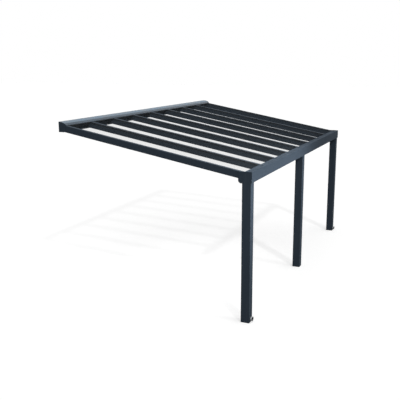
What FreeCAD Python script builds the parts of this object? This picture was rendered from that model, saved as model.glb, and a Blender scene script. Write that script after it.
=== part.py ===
import FreeCAD
import Part
import math
import os

# Wall mounted patio awning: a rigid lean-to roof of aluminium profiles and clear panels.
# Frame: +Z up, +X along the width, the wall behind at +Y and the open front toward -Y.
# The origin lies on the flat back of the wall profile, in the middle of its length and height.
# All sizes are in millimetres.

Vector = FreeCAD.Vector

# Overall sizes
WIDTH = 5750.0
PROJECTION = 3260.0
GUTTER_TOP_HEIGHT = 2278.0
ROOF_PITCH = 10.2
BAY_COUNT = 8
SEAT_GAP = 0.3

# Posts and their feet
POST_SIZE = 134.0
POST_WALL = 3.0
POST_CORNER_RADIUS = 3.0
POST_SETBACK = 14.0
FOOT_PLATE = 8.0
FOOT_UPSTAND = 90.0
FOOT_UPSTAND_WALL = 4.0
FOOT_SIDE_GAP = 1.0
FOOT_BOLT_SPACING = 76.0
FOOT_BOLT_RADIUS = 5.5

# Gutter beam
GUTTER_HEIGHT = 159.0
GUTTER_DEPTH = 208.0
GUTTER_WALL = 3.0
GUTTER_RIM = 38.0
GUTTER_FLOOR_DEPTH = 152.0
GUTTER_NOSE_DROP = 13.0
GUTTER_NOSE_LIP = 10.0
GUTTER_NOSE_RADIUS = 43.0
GUTTER_CORNER_RADIUS = 4.0
GUTTER_CAP = 4.0

# Rain pipes inside the two outer posts
PIPE_RADIUS = 30.0
PIPE_WALL = 2.5
PIPE_BEND = 45.0
PIPE_FIT = 0.3
OUTLET_HEIGHT = 52.0
OUTLET_REACH = 36.0
OUTLET_COLLAR = 6.0
OUTLET_COLLAR_WIDTH = 7.0

# Rafters
RAFTER_WIDTH = 56.0
RAFTER_BODY_WIDTH = 44.0
RAFTER_BODY_DEPTH = 89.0
RAFTER_WALL = 2.5
RAFTER_HEAD = 4.0
RAFTER_TOE_RADIUS = 5.0
RAFTER_FIN = 8.0
RAFTER_DROP = 31.0
RAFTER_FRONT = 48.0

# Glazing covers
COVER_HEIGHT = 10.0
COVER_WALL = 2.5
COVER_CROWN = 1.5
COVER_FRONT = 60.0
COVER_END = 3.0

# Roof panels and the trims on their front edges
PANEL_THICKNESS = 8.0
PANEL_SIDE_GAP = 3.0
PANEL_FRONT = 84.0
PANEL_BACK = 8.0
TRIM_DEPTH = 54.0
TRIM_WALL = 2.0
TRIM_SIDE_GAP = 1.0

# Wall profile and its hood
WALL_PLATE = 3.0
WALL_TOP_RISE = 36.0
WALL_TOP_LIP = 12.0
WALL_SEAT_REACH = 95.0
WALL_SEAT_FRONT = 3.0
WALL_SEAT_WALL = 3.0
WALL_CHAMBER_END = 2.0
WALL_CAP = 4.0
WALL_CAP_CORNER = 30.0
WALL_BOLT_RADIUS = 5.5
WALL_BOLT_RISE = 0.0
HOOD_REACH = 138.0
HOOD_WALL = 2.5
HOOD_BROW_REACH = 110.0
HOOD_BROW_DROP = 25.0
HOOD_CROWN = 6.0
HOOD_THROAT_REACH = 121.0
HOOD_LIP_HEIGHT = 12.0

# Roof slope and the heights that follow from it
SLOPE = math.radians(ROOF_PITCH)
SLOPE_TAN = math.tan(SLOPE)
SLOPE_COS = math.cos(SLOPE)
RAFTER_DEPTH = COVER_HEIGHT + PANEL_THICKNESS + SEAT_GAP + RAFTER_BODY_DEPTH
ROOF_TOP_HEIGHT = GUTTER_TOP_HEIGHT - RAFTER_DROP + PROJECTION * SLOPE_TAN
WALL_TOP_HEIGHT = ROOF_TOP_HEIGHT + WALL_TOP_RISE
WALL_SEAT_DROP = WALL_SEAT_REACH * SLOPE_TAN + (RAFTER_DEPTH + SEAT_GAP) / SLOPE_COS
WALL_FOOT_HEIGHT = ROOF_TOP_HEIGHT - WALL_SEAT_DROP - WALL_SEAT_FRONT
WALL_FACE_HEIGHT = (WALL_TOP_HEIGHT + WALL_FOOT_HEIGHT) / 2

# Levels in the part's own frame
GROUND_Z = -WALL_FACE_HEIGHT
ROOF_Z = ROOF_TOP_HEIGHT - WALL_FACE_HEIGHT
WALL_TOP_Z = WALL_TOP_HEIGHT - WALL_FACE_HEIGHT
WALL_FOOT_Z = WALL_FOOT_HEIGHT - WALL_FACE_HEIGHT
GUTTER_TOP_Z = GUTTER_TOP_HEIGHT - WALL_FACE_HEIGHT
GUTTER_FLOOR_Z = GUTTER_TOP_Z - GUTTER_HEIGHT
FRONT_Y = -PROJECTION

# Levels under the roof's top line, measured square to the slope
PANEL_TOP = -COVER_HEIGHT
PANEL_UNDER = PANEL_TOP - PANEL_THICKNESS
HEAD_TOP = PANEL_UNDER - SEAT_GAP
TOE_LEVEL = -RAFTER_DEPTH
COVER_CEILING = -COVER_CROWN - COVER_WALL
FIN_TOP = COVER_CEILING - SEAT_GAP

# Places across the width
HALF_WIDTH = WIDTH / 2
POST_CENTRE_X = HALF_WIDTH - POST_SIZE / 2
POST_CENTRE_Y = FRONT_Y + POST_SETBACK + POST_SIZE / 2
SIDE_RAFTER_X = HALF_WIDTH - max(GUTTER_CAP, WALL_CAP) - SEAT_GAP - RAFTER_WIDTH / 2
BAY_PITCH = 2 * SIDE_RAFTER_X / BAY_COUNT
RAFTER_X = [-SIDE_RAFTER_X + index * BAY_PITCH for index in range(BAY_COUNT + 1)]


def roof_level(y, drop):
    """Height at depth y of a line that lies drop under the roof's top line."""
    return ROOF_Z + y * SLOPE_TAN + drop / SLOPE_COS


def save(shape, name):
    """Write one sub-part as a STEP file named after its node."""
    os.makedirs("parts", exist_ok=True)
    shape.exportStep(os.path.join("parts", name + ".step"))


def line(first, second):
    """Straight edge between two points of a section."""
    return Part.makeLine(first, second)


def arc(first, middle, last):
    """Round edge through three points of a section."""
    return Part.Arc(first, middle, last).toShape()


def outline_face(points):
    """Flat face inside a closed run of straight edges."""
    return Part.Face(Part.makePolygon(points + [points[0]]))


def box_between(low, high):
    """Block between its lowest and highest corners."""
    return Part.makeBox(high.x - low.x, high.y - low.y, high.z - low.z, low)


def wall_strip(edges, thickness):
    """Closed face of even thickness along one side of an open run of edges."""
    return Part.Wire(edges).makeOffset2D(thickness, 1, True, True)


# Sloping members are drawn level, with their top line on the X axis, and tilted into the roof


def tilt(shape):
    """Turn a level member about the wall line and lift it into the roof."""
    shape = shape.copy()
    shape.rotate(Vector(0, 0, 0), Vector(1, 0, 0), ROOF_PITCH)
    shape.translate(Vector(0, 0, ROOF_Z))
    return shape


def trimmed(shape, back_y, front_y):
    """Cut a sloping member plumb at its wall end and at its front end."""
    reach = WIDTH
    low = Vector(-reach, front_y, GROUND_Z)
    high = Vector(reach, back_y, WALL_TOP_Z + reach)
    return shape.common(box_between(low, high))


def slope_run(section, back_y, front_y):
    """Draw a section out along the slope, longer than needed, and trim it plumb."""
    overrun = RAFTER_DEPTH * 2
    section = section.copy()
    section.translate(Vector(0, overrun, 0))
    length = PROJECTION / SLOPE_COS + 2 * overrun
    return trimmed(tilt(section.extrude(Vector(0, -length, 0))), back_y, front_y)


def joined(solids):
    """One solid from pieces of a profile that share walls."""
    return solids[0].fuse(solids[1:]).removeSplitter().Solids[0]


def section_box(x0, x1, z0, z1):
    """Rectangle in the plane across a sloping member."""
    return outline_face([Vector(x0, 0, z0), Vector(x1, 0, z0), Vector(x1, 0, z1), Vector(x0, 0, z1)])


def rafter_body(centre, half_body, bottom, top):
    """Hollow box of a rafter with its lower edges rounded."""
    radius = RAFTER_TOE_RADIUS
    bend = radius * (1 - math.sqrt(0.5))
    left = centre - half_body
    right = centre + half_body
    edges = [
        line(Vector(left, 0, top), Vector(left, 0, bottom + radius)),
        arc(Vector(left, 0, bottom + radius), Vector(left + bend, 0, bottom + bend),
            Vector(left + radius, 0, bottom)),
        line(Vector(left + radius, 0, bottom), Vector(right - radius, 0, bottom)),
        arc(Vector(right - radius, 0, bottom), Vector(right - bend, 0, bottom + bend),
            Vector(right, 0, bottom + radius)),
        line(Vector(right, 0, bottom + radius), Vector(right, 0, top)),
        line(Vector(right, 0, top), Vector(left, 0, top)),
    ]
    outer = Part.Face(Part.Wire(edges))
    inner = section_box(left + RAFTER_WALL, right - RAFTER_WALL, bottom + RAFTER_WALL, top - RAFTER_HEAD)
    return outer.cut(inner)


def rafter_sections(centre):
    """Intermediate rafter: hollow box, wide head for two panels and a fin between them."""
    body = rafter_body(centre, RAFTER_BODY_WIDTH / 2, TOE_LEVEL, HEAD_TOP)
    half = RAFTER_WIDTH / 2
    head = section_box(centre - half, centre + half, HEAD_TOP - RAFTER_HEAD, HEAD_TOP)
    fin = section_box(centre - RAFTER_FIN / 2, centre + RAFTER_FIN / 2, HEAD_TOP - RAFTER_HEAD, FIN_TOP)
    return [body, head, fin]


def side_rafter_sections(centre, side):
    """Side rafter: full width box, with an outer upstand that closes the glazing rebate."""
    half = RAFTER_WIDTH / 2
    body = rafter_body(centre, half, TOE_LEVEL, HEAD_TOP)
    fin = section_box(centre - RAFTER_FIN / 2, centre + RAFTER_FIN / 2, HEAD_TOP - RAFTER_HEAD, FIN_TOP)
    outer = centre + side * half
    inner = outer - side * RAFTER_HEAD
    upstand = section_box(min(outer, inner), max(outer, inner), HEAD_TOP - RAFTER_HEAD, PANEL_TOP)
    return [body, fin, upstand]


def cover_section(centre, hollow):
    """Glazing cover: crowned cap whose skirts come down to the panels."""
    half = RAFTER_WIDTH / 2
    foot = PANEL_TOP + SEAT_GAP
    left = centre - half
    right = centre + half
    edges = [
        line(Vector(left, 0, foot), Vector(left, 0, -COVER_CROWN)),
        arc(Vector(left, 0, -COVER_CROWN), Vector(centre, 0, 0), Vector(right, 0, -COVER_CROWN)),
        line(Vector(right, 0, -COVER_CROWN), Vector(right, 0, foot)),
        line(Vector(right, 0, foot), Vector(left, 0, foot)),
    ]
    face = Part.Face(Part.Wire(edges))
    if hollow:
        face = face.cut(section_box(left + COVER_WALL, right - COVER_WALL, foot, COVER_CEILING))
    return face


def make_rafters():
    """Two side rafters and the rafters between them."""
    back_y = -WALL_PLATE - SEAT_GAP
    front_y = FRONT_Y + RAFTER_FRONT
    for index, centre in enumerate(RAFTER_X):
        if index == 0:
            sections, name = side_rafter_sections(centre, -1), "side_rafter_left"
        elif index == BAY_COUNT:
            sections, name = side_rafter_sections(centre, 1), "side_rafter_right"
        else:
            sections, name = rafter_sections(centre), "rafter_%d" % index
        save(joined([slope_run(section, back_y, front_y) for section in sections]), name)


def make_covers():
    """Glazing covers on every rafter, closed at their front ends."""
    back_y = -WALL_PLATE - SEAT_GAP
    front_y = FRONT_Y + COVER_FRONT
    for index, centre in enumerate(RAFTER_X):
        channel = slope_run(cover_section(centre, True), back_y, front_y + COVER_END)
        end = slope_run(cover_section(centre, False), front_y + COVER_END, front_y)
        name = "glazing_cover_%d" % (index + 1)
        save(channel.fuse(end).removeSplitter(), name)


def bay_edges(index, clearance):
    """Left and right limits of what fits between the fins of one bay."""
    left = RAFTER_X[index] + RAFTER_FIN / 2 + clearance
    right = RAFTER_X[index + 1] - RAFTER_FIN / 2 - clearance
    return left, right


def make_panels():
    """Clear roof panels, one in each bay."""
    front_y = FRONT_Y + PANEL_FRONT
    for index in range(BAY_COUNT):
        left, right = bay_edges(index, PANEL_SIDE_GAP)
        section = section_box(left, right, PANEL_UNDER, PANEL_TOP)
        save(slope_run(section, -WALL_PLATE - PANEL_BACK, front_y), "roof_panel_%d" % (index + 1))


def make_panel_trims():
    """Channels that close the front edges of the panels, between the rafters."""
    back_y = FRONT_Y + PANEL_FRONT - TRIM_WALL - SEAT_GAP + TRIM_DEPTH
    front_y = FRONT_Y + PANEL_FRONT - TRIM_WALL - SEAT_GAP
    trims = []
    for index in range(BAY_COUNT):
        left = RAFTER_X[index] + RAFTER_WIDTH / 2 + TRIM_SIDE_GAP
        right = RAFTER_X[index + 1] - RAFTER_WIDTH / 2 - TRIM_SIDE_GAP
        top = PANEL_TOP + SEAT_GAP + TRIM_WALL
        under = PANEL_UNDER - SEAT_GAP - TRIM_WALL
        block = slope_run(section_box(left, right, under, top), back_y, front_y)
        slot = section_box(left, right, PANEL_UNDER - SEAT_GAP, PANEL_TOP + SEAT_GAP)
        trims.append(block.cut(slope_run(slot, back_y, front_y + TRIM_WALL)))
    save(Part.makeCompound(trims), "panel_end_trims")


def gutter_point(depth, drop, x):
    """Point of the gutter's section, by its depth behind the face and its drop from the top."""
    return Vector(x, FRONT_Y + depth, GUTTER_TOP_Z - drop)


def gutter_rear_drop():
    """Drop of the rear wall's top, just under the rafters that rest on it."""
    y = FRONT_Y + GUTTER_DEPTH - GUTTER_WALL
    return GUTTER_TOP_Z - roof_level(y, TOE_LEVEL) + SEAT_GAP


def gutter_run(x):
    """Outer edges of the gutter from its rim round to the top of its rear wall."""
    low = GUTTER_HEIGHT
    nose = GUTTER_HEIGHT + GUTTER_NOSE_DROP
    mid = math.sqrt(0.5)
    round_run = GUTTER_DEPTH - GUTTER_FLOOR_DEPTH - GUTTER_NOSE_LIP
    edge = GUTTER_CORNER_RADIUS
    turn = edge * (1 - mid)
    round_x = GUTTER_DEPTH - round_run
    round_drop = nose - GUTTER_NOSE_RADIUS
    return [
        line(gutter_point(GUTTER_RIM, 0, x), gutter_point(edge, 0, x)),
        arc(gutter_point(edge, 0, x), gutter_point(turn, turn, x), gutter_point(0, edge, x)),
        line(gutter_point(0, edge, x), gutter_point(0, low, x)),
        line(gutter_point(0, low, x), gutter_point(GUTTER_FLOOR_DEPTH, low, x)),
        line(gutter_point(GUTTER_FLOOR_DEPTH, low, x), gutter_point(GUTTER_FLOOR_DEPTH, nose, x)),
        line(gutter_point(GUTTER_FLOOR_DEPTH, nose, x), gutter_point(round_x, nose, x)),
        arc(gutter_point(round_x, nose, x),
            gutter_point(round_x + round_run * mid, round_drop + GUTTER_NOSE_RADIUS * mid, x),
            gutter_point(GUTTER_DEPTH, round_drop, x)),
        line(gutter_point(GUTTER_DEPTH, round_drop, x), gutter_point(GUTTER_DEPTH, gutter_rear_drop(), x)),
    ]


def make_gutter():
    """Gutter beam: hollow front box, open trough behind it and a rounded rear wall."""
    x0 = -HALF_WIDTH + GUTTER_CAP + SEAT_GAP
    length = -2 * x0
    shell = wall_strip(gutter_run(x0), -GUTTER_WALL)
    rim = GUTTER_RIM
    web = outline_face([
        gutter_point(rim - GUTTER_WALL, GUTTER_WALL / 2, x0), gutter_point(rim, 0, x0),
        gutter_point(rim, GUTTER_HEIGHT - GUTTER_WALL, x0),
        gutter_point(rim - GUTTER_WALL, GUTTER_HEIGHT - GUTTER_WALL, x0),
    ])
    beam = joined([face.extrude(Vector(length, 0, 0)) for face in (shell, web)])
    for x in (-POST_CENTRE_X, POST_CENTRE_X):
        low = Vector(x, POST_CENTRE_Y, GUTTER_FLOOR_Z - GUTTER_WALL)
        beam = beam.cut(Part.makeCylinder(PIPE_RADIUS + PIPE_FIT, 3 * GUTTER_WALL, low))
    save(beam, "gutter_beam")


def make_gutter_caps():
    """End caps that follow the gutter's outline and close the side of its trough."""
    for side, name in ((-1, "gutter_end_cap_left"), (1, "gutter_end_cap_right")):
        x0 = side * HALF_WIDTH
        edges = gutter_run(x0)[1:]
        start = gutter_point(GUTTER_CORNER_RADIUS, 0, x0)
        corner = gutter_point(GUTTER_DEPTH, 0, x0)
        edges.append(line(gutter_point(GUTTER_DEPTH, gutter_rear_drop(), x0), corner))
        edges.append(line(corner, start))
        save(Part.Face(Part.Wire(edges)).extrude(Vector(-side * GUTTER_CAP, 0, 0)), name)


def square_face(x, y, z, size, radius):
    """Level square with rounded corners about a centre."""
    half = size / 2
    block = box_between(Vector(x - half, y - half, z), Vector(x + half, y + half, z + 1))
    upright = [edge for edge in block.Edges if abs(edge.Vertexes[0].Z - edge.Vertexes[1].Z) > 0.5]
    rounded = block.makeFillet(radius, upright)
    return [face for face in rounded.Faces if abs(face.CenterOfMass.z - z) < 1e-6][0]


def make_posts():
    """Three hollow square posts; the outer two are pierced for their rain outlets."""
    bottom = GROUND_Z
    height = GUTTER_FLOOR_Z - SEAT_GAP - bottom
    for x, name in ((-POST_CENTRE_X, "post_left"), (0.0, "post_middle"), (POST_CENTRE_X, "post_right")):
        outer = square_face(x, POST_CENTRE_Y, bottom, POST_SIZE, POST_CORNER_RADIUS)
        bore = POST_SIZE - 2 * POST_WALL
        inner = box_between(Vector(x - bore / 2, POST_CENTRE_Y - bore / 2, bottom),
                            Vector(x + bore / 2, POST_CENTRE_Y + bore / 2, bottom + height))
        post = outer.extrude(Vector(0, 0, height)).cut(inner)
        if x != 0.0:
            start = Vector(x, POST_CENTRE_Y, bottom + OUTLET_HEIGHT)
            hole = Part.makeCylinder(PIPE_RADIUS + PIPE_FIT, POST_SIZE, start, Vector(0, -1, 0))
            post = post.cut(hole)
        save(post, name)


def make_feet():
    """Foot brackets inside the posts: a bolted plate with two upstands against the walls."""
    for x, name in ((-POST_CENTRE_X, "post_foot_left"), (0.0, "post_foot_middle"), (POST_CENTRE_X, "post_foot_right")):
        half = POST_SIZE / 2 - POST_WALL - SEAT_GAP
        low = Vector(x - half, POST_CENTRE_Y - half + FOOT_SIDE_GAP, GROUND_Z)
        high = Vector(x + half, POST_CENTRE_Y + half - FOOT_SIDE_GAP, GROUND_Z + FOOT_PLATE)
        foot = box_between(low, high)
        for side in (-1, 1):
            outer = x + side * half
            inner = outer - side * FOOT_UPSTAND_WALL
            foot = foot.fuse(box_between(Vector(min(outer, inner), low.y, GROUND_Z),
                                         Vector(max(outer, inner), high.y, GROUND_Z + FOOT_UPSTAND)))
        reach = FOOT_BOLT_SPACING / 2
        for dx in (-reach, reach):
            for dy in (-reach, reach):
                place = Vector(x + dx, POST_CENTRE_Y + dy, GROUND_Z - FOOT_PLATE)
                foot = foot.cut(Part.makeCylinder(FOOT_BOLT_RADIUS, 3 * FOOT_PLATE, place))
        save(foot.removeSplitter(), name)


def pipe_solid(x, radius, top_z):
    """Round bar along the pipe's line: down the post, round the bend and out at the front."""
    outlet_z = GROUND_Z + OUTLET_HEIGHT
    bend_z = outlet_z + PIPE_BEND
    front_y = FRONT_Y + POST_SETBACK - OUTLET_REACH
    bend_start = Vector(x, POST_CENTRE_Y, bend_z)
    across = Vector(x, POST_CENTRE_Y - PIPE_BEND, outlet_z)
    upright = Part.makeCylinder(radius, top_z - bend_z, bend_start)
    ring = Part.Face(Part.Wire(Part.makeCircle(radius, bend_start, Vector(0, 0, 1))))
    bend = ring.revolve(bend_start - Vector(0, PIPE_BEND, 0), Vector(-1, 0, 0), 90)
    spout = Part.makeCylinder(radius, across.y - front_y, across, Vector(0, -1, 0))
    return joined([upright, bend, spout])


def make_downpipes():
    """Rain pipes in the outer posts, each with a collar round its outlet."""
    for x, name in ((-POST_CENTRE_X, "downpipe_left"), (POST_CENTRE_X, "downpipe_right")):
        top_z = GUTTER_FLOOR_Z + GUTTER_WALL
        outer = pipe_solid(x, PIPE_RADIUS, top_z)
        face_y = FRONT_Y + POST_SETBACK - SEAT_GAP
        collar_place = Vector(x, face_y, GROUND_Z + OUTLET_HEIGHT)
        collar = Part.makeCylinder(PIPE_RADIUS + OUTLET_COLLAR_WIDTH, OUTLET_COLLAR, collar_place, Vector(0, -1, 0))
        pipe = outer.fuse(collar).cut(pipe_solid(x, PIPE_RADIUS - PIPE_WALL, top_z))
        save(pipe, name)


def wall_point(reach, z, x):
    """Point of the wall profile's section, by its reach from the wall and its level."""
    return Vector(x, -reach, z)


def seat_level(reach):
    """Level of the shelf that carries the rafters' wall ends."""
    return roof_level(-reach, TOE_LEVEL - SEAT_GAP)


def make_wall_profile():
    """Wall profile: back plate, top lip and a hollow shelf under the rafters."""
    x0 = -HALF_WIDTH + WALL_CAP + SEAT_GAP
    length = -2 * x0
    reach = WALL_SEAT_REACH
    plate = outline_face([
        wall_point(0, WALL_FOOT_Z, x0), wall_point(WALL_PLATE, WALL_FOOT_Z, x0),
        wall_point(WALL_PLATE, WALL_TOP_Z, x0), wall_point(0, WALL_TOP_Z, x0),
    ])
    lip = outline_face([
        wall_point(0, WALL_TOP_Z - WALL_PLATE, x0), wall_point(WALL_TOP_LIP, WALL_TOP_Z - WALL_PLATE, x0),
        wall_point(WALL_TOP_LIP, WALL_TOP_Z, x0), wall_point(0, WALL_TOP_Z, x0),
    ])
    shelf = outline_face([
        wall_point(0, WALL_FOOT_Z, x0), wall_point(reach, WALL_FOOT_Z, x0),
        wall_point(reach, seat_level(reach), x0), wall_point(0, seat_level(0), x0),
    ])
    wall = WALL_SEAT_WALL
    floor = WALL_FOOT_Z + wall
    inner = (seat_level(0) - wall - floor - WALL_CHAMBER_END) / SLOPE_TAN
    chamber = outline_face([
        wall_point(WALL_PLATE, floor, x0), wall_point(inner, floor, x0),
        wall_point(inner, floor + WALL_CHAMBER_END, x0),
        wall_point(WALL_PLATE, seat_level(WALL_PLATE) - wall, x0),
    ])
    profile = plate.fuse([lip, shelf]).removeSplitter().cut(chamber).extrude(Vector(length, 0, 0))
    for left, right in zip(RAFTER_X, RAFTER_X[1:]):
        place = Vector((left + right) / 2, -3 * WALL_PLATE, WALL_BOLT_RISE)
        profile = profile.cut(Part.makeCylinder(WALL_BOLT_RADIUS, 6 * WALL_PLATE, place, Vector(0, 1, 0)))
    save(profile, "wall_profile")


def hood_run(x):
    """Outer edges of the hood: crowned brow, recessed throat and drip lip."""
    brow_z = WALL_TOP_Z - HOOD_BROW_DROP
    lip_z = roof_level(-HOOD_REACH, SEAT_GAP)
    throat_z = lip_z + HOOD_LIP_HEIGHT
    start = WALL_TOP_LIP + SEAT_GAP
    middle = (start + HOOD_BROW_REACH) / 2
    crown_z = (WALL_TOP_Z + brow_z) / 2 + HOOD_CROWN
    return [
        arc(wall_point(start, WALL_TOP_Z, x), wall_point(middle, crown_z, x),
            wall_point(HOOD_BROW_REACH, brow_z, x)),
        line(wall_point(HOOD_BROW_REACH, brow_z, x), wall_point(HOOD_THROAT_REACH, throat_z, x)),
        line(wall_point(HOOD_THROAT_REACH, throat_z, x), wall_point(HOOD_REACH, throat_z, x)),
        line(wall_point(HOOD_REACH, throat_z, x), wall_point(HOOD_REACH, lip_z, x)),
    ]


def make_hood():
    """Hood over the wall ends of the rafters and panels."""
    x0 = -HALF_WIDTH + WALL_CAP + SEAT_GAP
    section = wall_strip(hood_run(x0), -HOOD_WALL)
    save(section.extrude(Vector(-2 * x0, 0, 0)), "wall_hood")


def make_wall_caps():
    """End caps that close the wall profile and its hood."""
    for side, name in ((-1, "wall_end_cap_left"), (1, "wall_end_cap_right")):
        x0 = side * HALF_WIDTH
        run = hood_run(x0)
        lip_z = roof_level(-HOOD_REACH, SEAT_GAP)
        corner = WALL_CAP_CORNER
        turn = corner * (1 - math.sqrt(0.5))
        reach = HOOD_REACH
        edges = [
            line(wall_point(0, WALL_TOP_Z, x0), wall_point(WALL_TOP_LIP + SEAT_GAP, WALL_TOP_Z, x0)),
            run[0],
            line(wall_point(HOOD_BROW_REACH, WALL_TOP_Z - HOOD_BROW_DROP, x0),
                 wall_point(HOOD_REACH, lip_z + HOOD_LIP_HEIGHT, x0)),
            line(wall_point(reach, lip_z + HOOD_LIP_HEIGHT, x0),
                 wall_point(WALL_SEAT_REACH + corner, WALL_FOOT_Z + corner, x0)),
            arc(wall_point(WALL_SEAT_REACH + corner, WALL_FOOT_Z + corner, x0),
                wall_point(WALL_SEAT_REACH + corner - turn, WALL_FOOT_Z + turn, x0),
                wall_point(WALL_SEAT_REACH, WALL_FOOT_Z, x0)),
            line(wall_point(WALL_SEAT_REACH, WALL_FOOT_Z, x0), wall_point(0, WALL_FOOT_Z, x0)),
            line(wall_point(0, WALL_FOOT_Z, x0), wall_point(0, WALL_TOP_Z, x0)),
        ]
        save(Part.Face(Part.Wire(edges)).extrude(Vector(-side * WALL_CAP, 0, 0)), name)


def main():
    """Build every sub-part from the ground up."""
    make_posts()
    make_feet()
    make_downpipes()
    make_gutter()
    make_gutter_caps()
    make_wall_profile()
    make_hood()
    make_wall_caps()
    make_rafters()
    make_covers()
    make_panels()
    make_panel_trims()


main()
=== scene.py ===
"""Dressed model of a wall mounted patio awning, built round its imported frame.

The frame carries every profile, post, panel and pipe. This script gives each of them its
finish and adds what a fitter brings: seals, screws, wall anchors, leaf guards, outlet rubbers
and closures. All lengths are in metres, with +Z up, the wall toward +Y and the gutter toward -Y.
"""

import logging
import math
from dataclasses import dataclass, field
from enum import Enum
from typing import Any, Iterable, Sequence

import bmesh
import bpy
from mathutils import Matrix, Vector


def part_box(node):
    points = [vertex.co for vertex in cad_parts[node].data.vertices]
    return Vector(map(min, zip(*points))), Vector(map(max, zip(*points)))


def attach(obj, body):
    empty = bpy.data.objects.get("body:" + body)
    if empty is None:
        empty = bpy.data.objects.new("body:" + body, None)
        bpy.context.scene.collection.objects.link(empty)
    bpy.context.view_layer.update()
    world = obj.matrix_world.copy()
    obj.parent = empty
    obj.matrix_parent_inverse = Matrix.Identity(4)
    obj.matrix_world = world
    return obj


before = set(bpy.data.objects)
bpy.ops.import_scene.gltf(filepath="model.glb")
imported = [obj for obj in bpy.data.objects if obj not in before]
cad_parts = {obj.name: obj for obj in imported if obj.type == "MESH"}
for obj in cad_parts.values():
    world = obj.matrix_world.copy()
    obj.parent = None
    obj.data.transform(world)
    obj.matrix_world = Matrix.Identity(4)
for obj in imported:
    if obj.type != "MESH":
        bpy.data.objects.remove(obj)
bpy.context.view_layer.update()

LOG = logging.getLogger("patio_awning")
Colour = tuple[float, float, float]
Socket = bpy.types.NodeSocket
Profile = Sequence[tuple[float, float]]

ROOF_PITCH = math.radians(10.2)
BAY_COUNT = 8


class Slot(Enum):
    """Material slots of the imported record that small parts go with."""

    POST = "post_metal"
    GUTTER = "gutter_metal"
    CAP = "cap_metal"
    HOOD = "hood_metal"
    ROOF = "roof_metal"
    PIPE = "pipe_plastic"
    FOOT = "foot_steel"


class Facing(Enum):
    """Directions that a screw head or a ring can face."""

    LEFT = Vector((-1.0, 0.0, 0.0))
    RIGHT = Vector((1.0, 0.0, 0.0))
    FRONT = Vector((0.0, -1.0, 0.0))
    BACK = Vector((0.0, 1.0, 0.0))
    UP = Vector((0.0, 0.0, 1.0))
    OFF_ROOF = Vector((0.0, -math.sin(ROOF_PITCH), math.cos(ROOF_PITCH)))


def low(node: str) -> Vector:
    """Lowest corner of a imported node, in metres."""
    return Vector(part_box(node)[0])


def high(node: str) -> Vector:
    """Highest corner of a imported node, in metres."""
    return Vector(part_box(node)[1])


def middle(node: str) -> Vector:
    """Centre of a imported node's box, in metres."""
    return (low(node) + high(node)) / 2


@dataclass(frozen=True)
class RoofLine:
    """Top line of the sloping roof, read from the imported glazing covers."""

    pitch: float
    level_at_wall: float

    @classmethod
    def from_frame(cls) -> "RoofLine":
        """Reads the line from the highest corner of the first cover."""
        top = high("glazing_cover_1")
        return cls(ROOF_PITCH, top.z - top.y * math.tan(ROOF_PITCH))

    def point(self, x: float, y: float, drop: float) -> Vector:
        """Gives a point under the roof line.

        Args:
            x: Place across the width.
            y: Place between the wall and the gutter.
            drop: Depth under the line, square to the slope.

        Returns:
            The point, in metres.
        """
        level = self.level_at_wall + y * math.tan(self.pitch) - drop / math.cos(self.pitch)
        return Vector((x, y, level))


ROOF = RoofLine.from_frame()


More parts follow.
